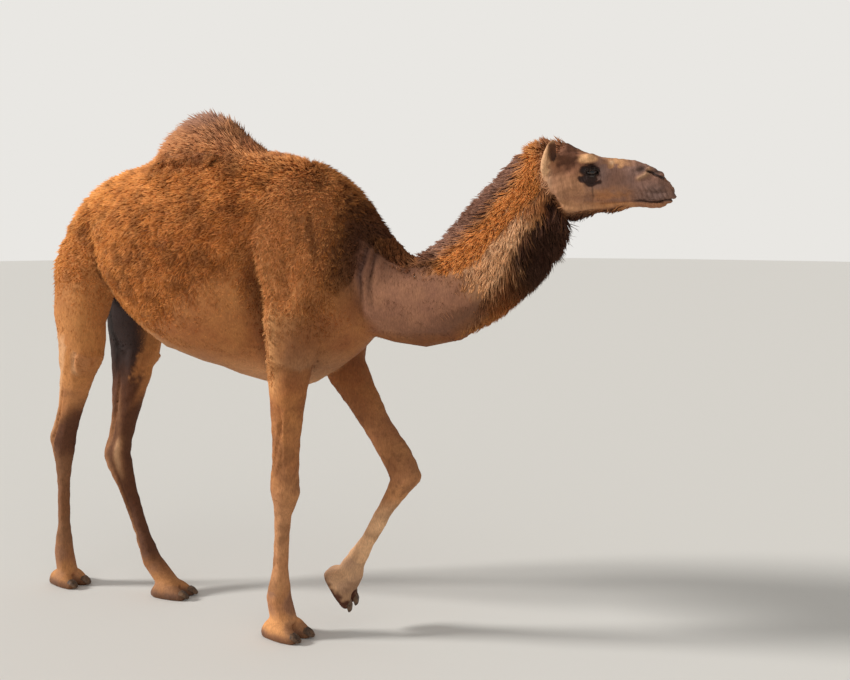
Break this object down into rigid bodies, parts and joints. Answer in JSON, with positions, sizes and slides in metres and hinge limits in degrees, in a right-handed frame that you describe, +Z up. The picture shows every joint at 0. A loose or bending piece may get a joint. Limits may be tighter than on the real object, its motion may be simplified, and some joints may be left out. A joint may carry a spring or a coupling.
{
  "type": "dromedary camel",
  "caption": "One-humped camel at life size, walking with one forefoot lifted; woolly coat on hump, neck and back, short coat on the legs.",
  "frame": {"origin": "on the ground under the middle of the object's box", "axes": "+X the way the camel walks, +Y its left, +Z up"},
  "size_m": [2.7032, 0.72, 1.99],
  "materials": {
    "wool": "matte",
    "dark_wool": "matte",
    "short_coat": "matte",
    "face_coat": "matte",
    "eye": "gloss",
    "nail": "satin"
  },
  "bodies": {
    "root": {"trunk": "wool", "hump": "dark_wool", "neck_lower": "wool", "neck_upper": "dark_wool", "head": "face_coat", "lower_jaw": "face_coat", "tail": "wool", "eye_left": "eye", "eye_right": "eye", "ear_left": "face_coat", "ear_right": "face_coat", "foreleg_right_upper": "short_coat", "foreleg_right_lower": "short_coat", "foreleg_right_foot": "short_coat", "foreleg_right_nail_1": "nail", "foreleg_right_nail_2": "nail", "foreleg_left_upper": "short_coat", "foreleg_left_lower": "short_coat", "foreleg_left_foot": "short_coat", "foreleg_left_nail_1": "nail", "foreleg_left_nail_2": "nail", "hindleg_right_upper": "short_coat", "hindleg_right_lower": "short_coat", "hindleg_right_foot": "short_coat", "hindleg_right_nail_1": "nail", "hindleg_right_nail_2": "nail", "hindleg_left_upper": "short_coat", "hindleg_left_lower": "short_coat", "hindleg_left_foot": "short_coat", "hindleg_left_nail_1": "nail", "hindleg_left_nail_2": "nail"}
  },
  "joints": []
}
